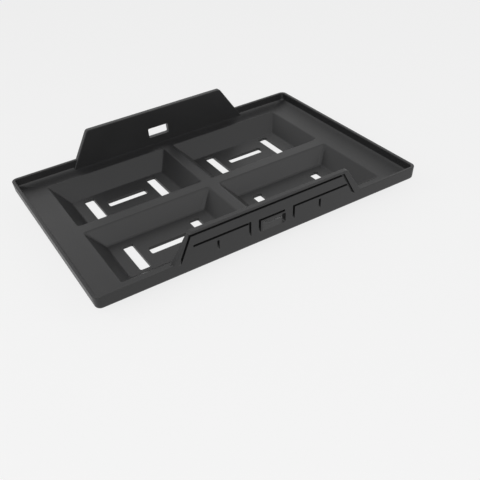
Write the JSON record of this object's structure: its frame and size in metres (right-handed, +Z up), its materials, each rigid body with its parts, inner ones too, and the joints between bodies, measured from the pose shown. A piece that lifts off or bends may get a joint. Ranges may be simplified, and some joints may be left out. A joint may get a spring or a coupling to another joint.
{
  "type": "car battery tray",
  "caption": "Moulded plastic tray that carries a car battery on a flat ledge, with drained pockets below it and raised tabs at the long sides for a hold-down.",
  "frame": {"origin": "middle of the footprint, on the plane the pocket floors rest on", "axes": "+X along the long sides, +Y towards the back tab, +Z up"},
  "size_m": [0.3398, 0.2374, 0.0576],
  "materials": {
    "tray": "satin"
  },
  "bodies": {
    "root": {"tray": "tray"}
  },
  "joints": []
}
